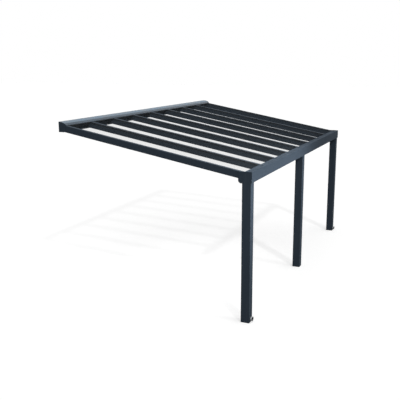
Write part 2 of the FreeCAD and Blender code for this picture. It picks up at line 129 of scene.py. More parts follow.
class Sheet:
    """Short way to place and join the nodes of one node tree."""

    noise_roughness: float = 0.55

    def __init__(self, tree: bpy.types.NodeTree) -> None:
        """Takes the tree of a material, a world or a node group and empties it."""
        self.tree = tree
        tree.nodes.clear()

    def node(self, kind: str, inputs: dict[Any, Any] | None = None, **settings: Any) -> bpy.types.Node:
        """Places one node.

        Args:
            kind: Blender's type name of the node.
            inputs: Values or sockets to join, by input name or number.
            **settings: Properties of the node.

        Returns:
            The new node.
        """
        placed = self.tree.nodes.new(kind)
        for name, value in settings.items():
            setattr(placed, name, value)
        for key, value in (inputs or {}).items():
            self.feed(placed.inputs[key], value)
        return placed

    def feed(self, socket: Socket, value: Any) -> None:
        """Joins a socket to another, or sets its plain value.

        Args:
            socket: Input to feed.
            value: Output socket, number, vector or colour.
        """
        if isinstance(value, Socket):
            self.tree.links.new(value, socket)
        else:
            socket.default_value = value

    def math(self, operation: str, first: Any, second: Any = 0.0, clamp: bool = False) -> Socket:
        """Places a Math node.

        Args:
            operation: Blender's name of the operation.
            first: First number or socket.
            second: Second number or socket.
            clamp: Whether the result is held between 0 and 1.

        Returns:
            The result's socket.
        """
        placed = self.node("ShaderNodeMath", {0: first, 1: second}, operation=operation, use_clamp=clamp)
        return placed.outputs[0]

    def plus(self, first: Any, second: Any) -> Socket:
        """Adds two numbers or sockets."""
        return self.math("ADD", first, second)

    def times(self, first: Any, second: Any, clamp: bool = False) -> Socket:
        """Multiplies two numbers or sockets, and holds the result between 0 and 1 if clamp is set."""
        return self.math("MULTIPLY", first, second, clamp)

    def swing(self, value: Socket, reach: Any) -> Socket:
        """Turns a value that lies about 0.5 into one that lies about 0, times a reach."""
        return self.times(self.math("SUBTRACT", value, 0.5), reach)

    def spread(self, value: Any, start: float, end: float, to_start: float, to_end: float) -> Socket:
        """Places a smooth Map Range node.

        Args:
            value: Socket to map.
            start: Lowest value that comes in.
            end: Highest value that comes in.
            to_start: Value given out at the start.
            to_end: Value given out at the end.

        Returns:
            The mapped socket.
        """
        ends = {"Value": value, "From Min": start, "From Max": end, "To Min": to_start, "To Max": to_end}
        return self.node("ShaderNodeMapRange", ends, interpolation_type="SMOOTHSTEP").outputs[0]

    def blend(self, factor: Any, first: Any, second: Any, mode: str = "MIX") -> Socket:
        """Places a colour Mix node.

        Args:
            factor: Share of the second colour.
            first: First colour or socket.
            second: Second colour or socket.
            mode: Blender's name of the blend.

        Returns:
            The mixed colour's socket.
        """
        inputs = {"Factor": factor, 6: first, 7: second}
        return self.node("ShaderNodeMix", inputs, data_type="RGBA", blend_type=mode).outputs[2]

    def noise(self, scale: Any, detail: float, place: Socket) -> Socket:
        """Places a Noise node.

        Args:
            scale: Number of waves in a metre, or a socket for it.
            detail: Number of finer layers.
            place: Vector socket to read the noise at.

        Returns:
            The noise value's socket.
        """
        inputs = {"Vector": place, "Scale": scale, "Detail": detail, "Roughness": self.noise_roughness}
        return self.node("ShaderNodeTexNoise", inputs).outputs[0]

    def stretched(self, scale: Any) -> Socket:
        """Gives the place on the object, stretched along its axes."""
        return self.node("ShaderNodeMapping", {"Vector": self.object_place(), "Scale": scale}).outputs[0]

    def object_place(self) -> Socket:
        """Gives the place on the object, in metres."""
        return self.node("ShaderNodeTexCoord").outputs["Object"]

    def normal(self) -> Socket:
        """Gives the surface's normal."""
        return self.node("ShaderNodeNewGeometry").outputs["Normal"]

    def upward(self) -> Socket:
        """Gives how far the surface faces up, from -1 to 1."""
        return self.node("ShaderNodeSeparateXYZ", {0: self.normal()}).outputs[2]


def rgba(colour: Colour) -> tuple[float, float, float, float]:
    """Colour with a full fourth value, as Blender's sockets take it."""
    return (colour[0], colour[1], colour[2], 1.0)


@dataclass
class Effect:
    """Shader effect that more than one finish uses, kept as a node group."""

    name: str
    inputs: dict[str, str]
    outputs: dict[str, str]
    tree: bpy.types.NodeTree = field(init=False)
    sheet: Sheet = field(init=False)
    entry: Any = field(init=False)
    exit: Any = field(init=False)

    def __post_init__(self) -> None:
        """Makes the group with its named sockets."""
        self.tree = bpy.data.node_groups.new(self.name, "ShaderNodeTree")
        self.sheet = Sheet(self.tree)
        for side, sockets in (("INPUT", self.inputs), ("OUTPUT", self.outputs)):
            for name, kind in sockets.items():
                self.tree.interface.new_socket(name=name, in_out=side, socket_type="NodeSocket" + kind)
        self.entry = self.sheet.node("NodeGroupInput").outputs
        self.exit = self.sheet.node("NodeGroupOutput").inputs

    def give(self, name: str, value: Socket) -> None:
        """Joins a result to one of the group's outputs."""
        self.sheet.feed(self.exit[name], value)

    def give_mask(self, first: Socket, second: Socket) -> None:
        """Joins the product of two shares and the Amount input to the Mask output."""
        share = self.sheet.times(first, second)
        self.give("Mask", self.sheet.times(share, self.entry["Amount"], clamp=True))

    def place(self, sheet: Sheet, **values: Any) -> Any:
        """Places the group in a material.

        Args:
            sheet: Sheet of the material.
            **values: Values or sockets for the inputs.

        Returns:
            The placed group's outputs, by name.
        """
        node = sheet.node("ShaderNodeGroup", node_tree=self.tree)
        for name, value in values.items():
            sheet.feed(node.inputs[name], value)
        return node.outputs


@dataclass
class Effects:
    """The shared effects: skin, wear, dust that also serves as painted sheen, rain marks and drawn lines."""

    cloud_scale: float = 2.6
    cloud_share: float = 0.7
    corner_turn: tuple[float, float] = (0.98, 0.80)
    wear_patch_scale: float = 34.0
    wear_patch_range: tuple[float, float] = (0.42, 0.68)
    wear_patch_least: float = 0.25
    lying_range: tuple[float, float] = (0.35, 0.95)
    drift_range: tuple[float, float] = (0.35, 0.7)
    drift_least: float = 0.45
    mark_squeeze: float = 0.045
    mark_range: tuple[float, float] = (0.5, 0.75)
    upright_range: tuple[float, float] = (0.6, 0.2)

    def __post_init__(self) -> None:
        """Builds every effect once."""
        self.skin = self.make_skin()
        self.wear = self.make_wear()
        self.dust = self.make_dust_and_sheen()
        self.marks = self.make_marks()
        self.lines = self.make_lines()

    def make_skin(self) -> Effect:
        """Makes the fine skin of a sprayed or moulded surface, with a broad uneven tone.

        Returns:
            The effect, with a Colour and a Height output.
        """
        inputs = {"Colour": "Color", "Grain": "Float", "Mottle": "Float"}
        effect = Effect("surface_skin", inputs, {"Colour": "Color", "Height": "Float"})
        sheet = effect.sheet
        place = sheet.object_place()
        fine = sheet.noise(effect.entry["Grain"], 3.0, place)
        broad = sheet.noise(self.cloud_scale, 4.0, place)
        cloud = sheet.plus(sheet.times(broad, self.cloud_share), sheet.times(fine, 1.0 - self.cloud_share))
        tone = sheet.plus(1.0, sheet.times(sheet.swing(cloud, effect.entry["Mottle"]), 2.0))
        grey = sheet.node("ShaderNodeCombineColor", {0: tone, 1: tone, 2: tone}).outputs[0]
        effect.give("Colour", sheet.blend(1.0, effect.entry["Colour"], grey, "MULTIPLY"))
        effect.give("Height", fine)
        return effect

    def make_wear(self) -> Effect:
        """Makes the rubbed corners, found where a rounded normal leaves the true one.

        Returns:
            The effect, with a Mask output.
        """
        effect = Effect("edge_wear", {"Width": "Float", "Amount": "Float"}, {"Mask": "Float"})
        sheet = effect.sheet
        rounded = sheet.node("ShaderNodeBevel", {"Radius": effect.entry["Width"]}, samples=4).outputs[0]
        turn = sheet.node("ShaderNodeVectorMath", {0: rounded, 1: sheet.normal()}, operation="DOT_PRODUCT")
        edge = sheet.spread(turn.outputs["Value"], *self.corner_turn, 0.0, 1.0)
        patches = sheet.noise(self.wear_patch_scale, 4.0, sheet.object_place())
        effect.give_mask(edge, sheet.spread(patches, *self.wear_patch_range, self.wear_patch_least, 1.0))
        return effect

    def make_dust_and_sheen(self) -> Effect:
        """Makes the mask of fine dust that settles on what faces up; on the hood it carries a painted sky
        sheen.

        Returns:
            The effect, with a Mask output.
        """
        effect = Effect("settled_dust", {"Scale": "Float", "Amount": "Float"}, {"Mask": "Float"})
        sheet = effect.sheet
        lying = sheet.spread(sheet.upward(), *self.lying_range, 0.0, 1.0)
        drift = sheet.noise(effect.entry["Scale"], 5.0, sheet.object_place())
        effect.give_mask(lying, sheet.spread(drift, *self.drift_range, self.drift_least, 1.0))
        return effect

    def make_marks(self) -> Effect:
        """Makes the faint upright marks where rain has run down.

        Returns:
            The effect, with a Mask output.
        """
        effect = Effect("rain_marks", {"Spacing": "Float", "Amount": "Float"}, {"Mask": "Float"})
        sheet = effect.sheet
        runs = sheet.noise(effect.entry["Spacing"], 3.0, sheet.stretched((1.0, 1.0, self.mark_squeeze)))
        upright = sheet.spread(sheet.math("ABSOLUTE", sheet.upward()), *self.upright_range, 0.0, 1.0)
        effect.give_mask(sheet.spread(runs, *self.mark_range, 0.0, 1.0), upright)
        return effect

    def make_lines(self) -> Effect:
        """Makes the fine lines that a die or a brush leaves along a surface.

        Returns:
            The effect, with a Height output.
        """
        effect = Effect("drawn_lines", {"Stretch": "Vector", "Scale": "Float"}, {"Height": "Float"})
        drawn = effect.sheet.stretched(effect.entry["Stretch"])
        effect.give("Height", effect.sheet.noise(effect.entry["Scale"], 2.0, drawn))
        return effect


@dataclass(frozen=True)
class Finish:
    """Finish of a surface, built as one Principled material."""

    name: str
    colour: Colour

    def material(self, effects: Effects) -> bpy.types.Material:
        """Builds the material.

        Args:
            effects: Shared effects.

        Returns:
            The material.
        """
        made = bpy.data.materials.new(self.name)
        made.use_nodes = True
        sheet = Sheet(made.node_tree)
        shader = sheet.node("ShaderNodeBsdfPrincipled", self.shader_inputs(sheet, effects))
        sheet.node("ShaderNodeOutputMaterial", {"Surface": shader.outputs[0]})
        return made

    def shader_inputs(self, sheet: Sheet, effects: Effects) -> dict[str, Any]:
        """Places the finish's own nodes.

        Args:
            sheet: Sheet of the material.
            effects: Shared effects.

        Returns:
            Values and sockets for the Principled shader, by input name.
        """
        raise NotImplementedError


@dataclass(frozen=True)
class PowderCoat(Finish):
    """Dark powder coat: fine skin, rubbed corners, dust on top and faint rain marks; on the hood, a painted
    sky sheen on top.
    """

    roughness: float = 0.62
    shine: float = 0.015
    mottle: float = 0.10
    grain: float = 700.0
    peel: float = 0.00005
    peel_strength: float = 0.6
    unevenness: float = 0.12
    wear: float = 0.25
    wear_width: float = 0.0025
    wear_polish: float = 0.12
    dust: float = 0.06
    dust_scale: float = 5.0
    dust_dulling: float = 0.5
    marks: float = 0.05
    mark_spacing: float = 38.0
    worn: Colour = (0.13, 0.17, 0.21)
    dusty: Colour = (0.20, 0.22, 0.24)
    glint: Colour = (0.72, 0.86, 1.0)

    def shader_inputs(self, sheet: Sheet, effects: Effects) -> dict[str, Any]:
        """Places the coat's skin, wear, dust and rain marks.

        Args:
            sheet: Sheet of the material.
            effects: Shared effects.

        Returns:
            Values and sockets for the Principled shader, by input name.
        """
        skin = effects.skin.place(sheet, Colour=rgba(self.colour), Grain=self.grain, Mottle=self.mottle)
        wear = effects.wear.place(sheet, Width=self.wear_width, Amount=self.wear)["Mask"]
        dust = effects.dust.place(sheet, Scale=self.dust_scale, Amount=self.dust)["Mask"]
        marks = effects.marks.place(sheet, Spacing=self.mark_spacing, Amount=self.marks)["Mask"]
        # On the hood the dusty colour is painted sky sheen, so these blends lighten its faces toward light
        # blue, most where they face up.
        colour = sheet.blend(marks, skin["Colour"], rgba(self.dusty))
        colour = sheet.blend(dust, colour, rgba(self.dusty))
        colour = sheet.blend(wear, colour, rgba(self.worn))
        rough = sheet.plus(self.roughness, sheet.swing(skin["Height"], self.unevenness))
        rough = sheet.plus(rough, sheet.times(sheet.plus(dust, marks), self.dust_dulling))
        rough = sheet.math("SUBTRACT", rough, sheet.times(wear, self.wear_polish), clamp=True)
        relief = {"Height": skin["Height"], "Distance": self.peel, "Strength": self.peel_strength}
        return {
            "Base Color": colour,
            "Roughness": rough,
            "Normal": sheet.node("ShaderNodeBump", relief).outputs[0],
            "Specular IOR Level": self.shine,
            "Specular Tint": rgba(self.glint),
        }


@dataclass(frozen=True)
class ClearPanel(Finish):
    """Clear roof panel: a faint film with water spots and a trace of dust."""

    colour: Colour = (0.045, 0.055, 0.065)
    film: float = 0.115
    roughness: float = 0.05
    shine: float = 0.0
    grain: float = 55.0
    mottle: float = 0.12
    spot_range: tuple[float, float] = (0.60, 0.72)
    spot_roughness: float = 0.10
    dust: float = 0.06
    dust_scale: float = 9.0
    dust_dulling: float = 0.25
    dusty: Colour = (0.5, 0.5, 0.48)

    def shader_inputs(self, sheet: Sheet, effects: Effects) -> dict[str, Any]:
        """Places the panel's film, spots and dust.

        Args:
            sheet: Sheet of the material.
            effects: Shared effects.

        Returns:
            Values and sockets for the Principled shader, by input name.
        """
        skin = effects.skin.place(sheet, Colour=rgba(self.colour), Grain=self.grain, Mottle=self.mottle)
        dust = effects.dust.place(sheet, Scale=self.dust_scale, Amount=self.dust)["Mask"]
        spots = sheet.spread(skin["Height"], *self.spot_range, 0.0, self.spot_roughness)
        dulled = sheet.plus(spots, sheet.times(dust, self.dust_dulling))
        return {
            "Base Color": sheet.blend(dust, skin["Colour"], rgba(self.dusty)),
            "Roughness": sheet.plus(self.roughness, dulled),
            "Alpha": self.film,
            "Specular IOR Level": self.shine,
        }


@dataclass(frozen=True)
class Moulded(Finish):
    """Moulded or extruded plastic and rubber, with a fine skin."""

    roughness: float
    grain: float = 1200.0
    mottle: float = 0.14
    relief: float = 0.00004
    unevenness: float = 0.2
    dust: float = 0.15
    dust_scale: float = 14.0
    dust_dulling: float = 0.3
    dusty: Colour = (0.34, 0.33, 0.31)

    def shader_inputs(self, sheet: Sheet, effects: Effects) -> dict[str, Any]:
        """Places the moulding's skin and dust.

        Args:
            sheet: Sheet of the material.
            effects: Shared effects.

        Returns:
            Values and sockets for the Principled shader, by input name.
        """
        skin = effects.skin.place(sheet, Colour=rgba(self.colour), Grain=self.grain, Mottle=self.mottle)
        dust = effects.dust.place(sheet, Scale=self.dust_scale, Amount=self.dust)["Mask"]
        uneven = sheet.swing(skin["Height"], self.unevenness)
        dulled = sheet.plus(uneven, sheet.times(dust, self.dust_dulling))
        relief = {"Height": skin["Height"], "Distance": self.relief}
        return {
            "Base Color": sheet.blend(dust, skin["Colour"], rgba(self.dusty)),
            "Roughness": sheet.plus(self.roughness, dulled),
            "Normal": sheet.node("ShaderNodeBump", relief).outputs[0],
        }


@dataclass(frozen=True)
class BareMetal(Finish):
    """Bare steel or zinc, with drawn lines and rubbed corners."""

    roughness: float
    stretch: tuple[float, float, float] = (1.0, 1.0, 14.0)
    grain: float = 260.0
    mottle: float = 0.22
    line_scale: float = 160.0
    line_relief: float = 0.00002
    unevenness: float = 0.3
    wear: float = 0.3
    wear_width: float = 0.001
    worn: Colour = (0.78, 0.78, 0.77)
    dust: float = 0.1
    dust_scale: float = 11.0
    dust_dulling: float = 0.4
    dust_cover: float = 0.8
    dusty: Colour = (0.4, 0.39, 0.37)

    def shader_inputs(self, sheet: Sheet, effects: Effects) -> dict[str, Any]:
        """Places the metal's drawn lines, wear and dust.

        Args:
            sheet: Sheet of the material.
            effects: Shared effects.

        Returns:
            Values and sockets for the Principled shader, by input name.
        """
        skin = effects.skin.place(sheet, Colour=rgba(self.colour), Grain=self.grain, Mottle=self.mottle)
        lines = effects.lines.place(sheet, Stretch=self.stretch, Scale=self.line_scale)["Height"]
        wear = effects.wear.place(sheet, Width=self.wear_width, Amount=self.wear)["Mask"]
        dust = effects.dust.place(sheet, Scale=self.dust_scale, Amount=self.dust)["Mask"]
        colour = sheet.blend(wear, skin["Colour"], rgba(self.worn))
        rough = sheet.plus(self.roughness, sheet.swing(lines, self.unevenness))
        covered = sheet.times(dust, self.dust_cover)
        relief = {"Height": lines, "Distance": self.line_relief}
        return {
            "Base Color": sheet.blend(dust, colour, rgba(self.dusty)),
            "Roughness": sheet.math("ADD", rough, sheet.times(dust, self.dust_dulling), clamp=True),
            "Metallic": sheet.math("SUBTRACT", 1.0, covered, clamp=True),
            "Normal": sheet.node("ShaderNodeBump", relief).outputs[0],
        }


class Palette:
    """Every finish of the awning, made once and handed to the sub-assemblies."""

    anthracite: Colour = (0.044, 0.060, 0.081)
    # Painted sky sheen: light blue mixed into the hood's upward faces to stand for sky light on its top.
    painted_sky_sheen: Colour = (0.16, 0.28, 0.40)
    pipe_grey: Colour = (0.56, 0.60, 0.64)
    rubber_black: Colour = (0.018, 0.018, 0.019)
    guard_black: Colour = (0.05, 0.052, 0.055)
    zinc_grey: Colour = (0.50, 0.51, 0.52)

    def __init__(self) -> None:
        """Builds the materials."""
        effects = Effects()
        coat = self.anthracite
        # The hood's dust at 0.5 in light blue is painted sky sheen on its top, not real dust.
        hood = PowderCoat("hood_coat", coat, dust=0.5, roughness=0.25, shine=0.95, dusty=self.painted_sky_sheen)
        self.post = PowderCoat("post_coat", coat, marks=0.04, dust=0.03).material(effects)
        self.gutter = PowderCoat("gutter_coat", coat, marks=0.04).material(effects)
        self.cap = PowderCoat("cap_coat", coat, wear=0.35, grain=900.0).material(effects)
        self.hood = hood.material(effects)
        self.wall = PowderCoat("wall_coat", coat, marks=0.03).material(effects)
        self.rafter = PowderCoat("rafter_coat", coat, marks=0.03, dust=0.04).material(effects)
        self.cover = PowderCoat("cover_coat", coat, dust=0.08, wear=0.35, shine=0.10).material(effects)
        self.trim = PowderCoat("trim_coat", coat, dust=0.08).material(effects)
        self.screw = PowderCoat("screw_coat", coat, wear=0.6, dust=0.05).material(effects)
        self.panel = ClearPanel("clear_panel").material(effects)
        self.pipe = Moulded("grey_pipe", self.pipe_grey, 0.34, dust=0.08).material(effects)
        self.rubber = Moulded("seal_rubber", self.rubber_black, 0.68, grain=1600.0).material(effects)
        self.guard = Moulded("guard_plastic", self.guard_black, 0.5).material(effects)
        self.zinc = BareMetal("zinc_steel", self.zinc_grey, 0.45).material(effects)


class Shop:
    """Gathers the faces of one piece and turns them into an object."""

    smooth_angle: float = math.radians(35.0)

    def __init__(self, name: str) -> None:
        """Starts an empty piece of that name."""
        self.name = name
        self.mesh = bmesh.new()

    def loop(self, points: Iterable[Vector]) -> list[bmesh.types.BMVert]:
        """Adds one ring of points and gives its vertices."""
        return [self.mesh.verts.new(point) for point in points]

    def skin(self, first: Sequence[bmesh.types.BMVert], second: Sequence[bmesh.types.BMVert]) -> None:
        """Joins two rings of the same length with a band of faces.

        Args:
            first: First ring.
            second: Second ring.
        """
        count = len(first)
        for index in range(count):
            after = (index + 1) % count
            self.mesh.faces.new((first[index], first[after], second[after], second[index]))

    def tube(self, rings: Sequence[Sequence[Vector]]) -> None:
        """Adds a solid that runs through several rings and has a face at both ends.

        Args:
            rings: Rings of points, all of one length.
        """
        loops = [self.loop(ring) for ring in rings]
        for first, second in zip(loops, loops[1:]):
            self.skin(first, second)
        self.mesh.faces.new(list(reversed(loops[0])))
        self.mesh.faces.new(loops[-1])

    def lathe(
        self, profile: Sequence[tuple[float, float, int]], place: Vector, facing: Facing, sides: int
    ) -> None:
        """Adds a turned solid whose rings can have flats.

        Args:
            profile: Radius, height and number of flats of each ring, with 0 for a round one.
            place: Point of height 0 on the axis.
            facing: Direction that heights rise in.
            sides: Number of points round each ring.
        """
        turn = facing.value.to_track_quat("Z", "Y").to_matrix()
        rings = []
        for radius, height, flats in profile:
            ring = []
            for index in range(sides):
                angle = 2 * math.pi * index / sides
                reach = radius
                if flats:
                    part = 2 * math.pi / flats
                    reach = radius * math.cos(part / 2) / math.cos(angle % part - part / 2)
                ring.append(place + turn @ Vector((reach * math.cos(angle), reach * math.sin(angle), height)))
            rings.append(ring)
        self.tube(rings)

    def ring(self, profile: Profile, place: Vector, facing: Facing, sides: int) -> None:
        """Adds a turned ring from a closed profile.

        Args:
            profile: Radius and height of each corner, in order round the profile.
            place: Point of height 0 on the axis.
            facing: Direction that heights rise in.
            sides: Number of points round the ring.
        """
        turn = facing.value.to_track_quat("Z", "Y").to_matrix()
        loops = []
        for index in range(sides):
            angle = 2 * math.pi * index / sides
            out = Vector((math.cos(angle), math.sin(angle), 0.0))
            corners = [place + turn @ (out * radius + Vector((0, 0, height))) for radius, height in profile]
            loops.append(self.loop(corners))
        for index in range(sides):
            self.skin(loops[index], loops[(index + 1) % sides])

    def roof_strip(self, section: Profile, x: float, back: float, front: float) -> None:
        """Adds a strip that lies in the roof's slope.

        Args:
            section: Offset across and drop under the roof line of each corner.
            x: Place across the width that the offsets count from.
            back: Place of the wall end.
            front: Place of the gutter end.
        """
        self.tube([[ROOF.point(x + across, y, drop) for across, drop in section] for y in (back, front)])

    def finish(self, material: bpy.types.Material) -> None:
        """Makes the object, rides it on the frame and reports it.

        Args:
            material: Finish of the piece.
        """
        bmesh.ops.recalc_face_normals(self.mesh, faces=self.mesh.faces)
        data = bpy.data.meshes.new(self.name)
        self.mesh.to_mesh(data)
        self.mesh.free()
        data.materials.append(material)
        for polygon in data.polygons:
            polygon.use_smooth = True
        data.set_sharp_from_angle(angle=self.smooth_angle)
        made = bpy.data.objects.new(self.name, data)
        bpy.context.scene.collection.objects.link(made)
        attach(made, "root")
        LOG.info("made %s with %d faces", self.name, len(data.polygons))


def dress(nodes: Iterable[str], material: bpy.types.Material) -> None:
    """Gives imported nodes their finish.

    Args:
        nodes: Names of the nodes.
        material: Finish to give them.
    """
    for name in nodes:
        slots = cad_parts[name].data.materials
        slots.clear()
        slots.append(material)
        LOG.info("dressed %s with %s", name, material.name)


@dataclass(frozen=True)
class PanScrew:
    """Low round-headed screw with a hexagonal socket."""

    radius: float = 0.0055
    height: float = 0.0024
    socket: float = 0.0024
    depth: float = 0.0015
    seat: float = 0.0004
    socket_chamfer: float = 0.0002
    sides: int = 24

    def fit(self, shop: Shop, place: Vector, facing: Facing) -> None:
        """Adds one screw head.

        Args:
            shop: Piece that the head goes into.
            place: Point of the surface under the head's middle.
            facing: Direction that the head faces.
        """
        profile = [
            (self.radius * 0.98, -self.seat, 0),
            (self.radius, self.height * 0.25, 0),
            (self.radius * 0.93, self.height * 0.62, 0),
            (self.radius * 0.74, self.height * 0.90, 0),
            (self.socket * 1.28, self.height, 0),
            (self.socket, self.height - self.socket_chamfer, 6),
            (self.socket * 0.97, self.height - self.depth, 6),
        ]
        shop.lathe(profile, place, facing, self.sides)


@dataclass(frozen=True)
class AnchorBolt:
    """Hexagonal wall anchor on a round washer."""

    washer_radius: float = 0.0105
    washer_thickness: float = 0.002
    head_radius: float = 0.0092
    head_height: float = 0.0064
    chamfer_start: float = 0.0011
    chamfer_end: float = 0.0002
    sides: int = 36

    def fit(self, shop: Shop, place: Vector, facing: Facing) -> None:
        """Adds one anchor head on its washer.

        Args:
            shop: Piece that the anchor goes into.
            place: Point of the surface under the anchor's middle.
            facing: Direction that the head faces.
        """
        rim = self.washer_radius
        thick = self.washer_thickness
        washer = [(rim * 0.97, 0.0, 0), (rim, thick * 0.2, 0), (rim, thick * 0.8, 0), (rim * 0.97, thick, 0)]
        shop.lathe(washer, place, facing, self.sides)
        top = thick + self.head_height
        chamfer = self.head_radius * 0.86
        head = [
            (self.head_radius, thick, 6),
            (self.head_radius, top - self.chamfer_start, 6),
            (chamfer, top - self.chamfer_end, 0),
            (chamfer * 0.8, top, 0),
        ]
        shop.lathe(head, place, facing, self.sides)


@dataclass(frozen=True)
class CapScrews:
    """Sunk screws through a pair of end caps, with heads a hair proud of them."""

    name: str
    caps: tuple[str, ...]
    sink: float = 0.0013
    screw: PanScrew = PanScrew(radius=0.0045, height=0.0016, socket=0.0020, depth=0.0010)

    def build(self, palette: Palette, places: Profile) -> None:
        """Adds the screws of both caps.

        Args:
            palette: Finishes of the awning.
            places: Place between wall and gutter, and drop under the cap's top, of each screw.
        """
        shop = Shop(self.name)
        for cap, facing in zip(self.caps, (Facing.LEFT, Facing.RIGHT)):
            face_x = low(cap).x if facing is Facing.LEFT else high(cap).x
            sunk_x = face_x - facing.value.x * self.sink
            for y, drop in places:
                self.screw.fit(shop, Vector((sunk_x, y, high(cap).z - drop)), facing)
        shop.finish(palette.screw)


@dataclass
class Assembly:
    """Sub-assembly of the awning, with the finishes it is dressed in."""

    palette: Palette


@dataclass
class Posts(Assembly):
    """Three square posts, their feet and the screws that hold them together."""

    nodes: tuple[str, ...] = ("post_left", "post_middle", "post_right")
    feet: tuple[str, ...] = ("post_foot_left", "post_foot_middle", "post_foot_right")
    foot_screw_levels: tuple[float, ...] = (0.030, 0.068)
    foot_screw_spread: float = 0.034
    head_screw_drops: tuple[float, ...] = (0.028, 0.072)
    head_screw_spread: float = 0.036

    def build(self) -> None:
        """Dresses the posts and adds their screws."""
        dress(self.nodes, self.palette.post)
        dress(self.feet, self.palette.zinc)
        self.make_foot_screws()
        self.make_head_screws()

    def make_foot_screws(self) -> None:
        """Adds the screws through the posts' inner sides into their feet."""
        shop = Shop("post_foot_screws")
        screw = PanScrew()
        inner_sides = (Facing.RIGHT,), (Facing.LEFT, Facing.RIGHT), (Facing.LEFT,)
        for name, facings in zip(self.nodes, inner_sides):
            centre = middle(name)
            for facing in facings:
                face_x = high(name).x if facing is Facing.RIGHT else low(name).x
                for level in self.foot_screw_levels:
                    for across in (-self.foot_screw_spread, self.foot_screw_spread):
                        place = Vector((face_x, centre.y + across, low(name).z + level))
                        screw.fit(shop, place, facing)
        shop.finish(self.palette.screw)

    def make_head_screws(self) -> None:
        """Adds the screws through the posts' back faces under the gutter."""
        shop = Shop("post_head_screws")
        screw = PanScrew()
        for name in self.nodes:
            centre = middle(name)
            for drop in self.head_screw_drops:
                for across in (-self.head_screw_spread, self.head_screw_spread):
                    place = Vector((centre.x + across, high(name).y, high(name).z - drop))
                    screw.fit(shop, place, Facing.BACK)
        shop.finish(self.palette.screw)


@dataclass
class GutterBeam(Assembly):
    """Gutter beam, its end caps, their screws and the leaf guards over the pipes."""

    beam: str = "gutter_beam"
    caps: tuple[str, ...] = ("gutter_end_cap_left", "gutter_end_cap_right")
    screw_places: Profile = ((0.019, 0.022), (0.019, 0.137), (0.120, 0.137), (0.188, 0.115))
    floor_wall: float = 0.003
    nose_drop: float = 0.013
    guard_gap: float = 0.0002
    guard_radius: float = 0.036
    guard_height: float = 0.050
    rim_width: float = 0.004
    rim_height: float = 0.003
    rim_sides: int = 48
    knob_radius: float = 0.009
    knob_rises: tuple[float, float] = (-0.002, 0.001)
    knob_sides: int = 24
    rib_count: int = 14
    rib_half: float = 0.0016
    rib_root: float = 0.007
    rib_inset: float = 0.005
    rib_foot: float = 0.002
    rib_drop: float = 0.003
    rib_fullness: float = 0.6
    rib_steps: int = 8

    def build(self) -> None:
        """Dresses the beam and caps and adds their fittings."""
        dress([self.beam], self.palette.gutter)
        dress(self.caps, self.palette.cap)
        front = low(self.caps[0]).y
        places = [(front + depth, drop) for depth, drop in self.screw_places]
        CapScrews("gutter_cap_screws", self.caps).build(self.palette, places)
        self.make_leaf_guards()

    def make_leaf_guards(self) -> None:
        """Adds a domed guard of ribs over each pipe in the trough."""
        shop = Shop("leaf_guards")
        floor = low(self.beam).z + self.nose_drop + self.floor_wall + self.guard_gap
        inside = self.guard_radius
        outside = inside + self.rim_width
        rim = [(inside, 0.0), (outside, 0.0), (outside, self.rim_height), (inside, self.rim_height)]
        knob = [(self.knob_radius, self.guard_height + rise, 0) for rise in self.knob_rises]
        for name in ("downpipe_left", "downpipe_right"):
            centre = Vector((middle(name).x, middle("post_left").y, floor))
            shop.ring(rim, centre, Facing.UP, self.rim_sides)
            shop.lathe(knob, centre, Facing.UP, self.knob_sides)
            for index in range(self.rib_count):
                self.add_rib(shop, centre, 2 * math.pi * index / self.rib_count)
        shop.finish(self.palette.guard)

    def add_rib(self, shop: Shop, centre: Vector, angle: float) -> None:
        """Adds one bent rib of a leaf guard.

        Args:
            shop: Piece that the rib goes into.
            centre: Middle of the guard on the gutter's floor.
            angle: Direction of the rib round the guard.
        """
        thick = self.rib_half
        out = Vector((math.cos(angle), math.sin(angle), 0.0))
        side = Vector((-math.sin(angle), math.cos(angle), 0.0)) * thick
        rings = []
        for step in range(self.rib_steps + 1):
            bend = math.pi / 2 * step / self.rib_steps
            full = math.cos(bend) ** self.rib_fullness
            reach = self.rib_root + (self.guard_radius - self.rib_inset) * full
            rise = self.rib_foot + (self.guard_height - self.rib_drop) * math.sin(bend)
            inner = centre + out * (reach - thick) + Vector((0, 0, rise - thick))
            outer = centre + out * (reach + thick) + Vector((0, 0, rise + thick))
            rings.append([inner - side, inner + side, outer + side, outer - side])
        shop.tube(rings)


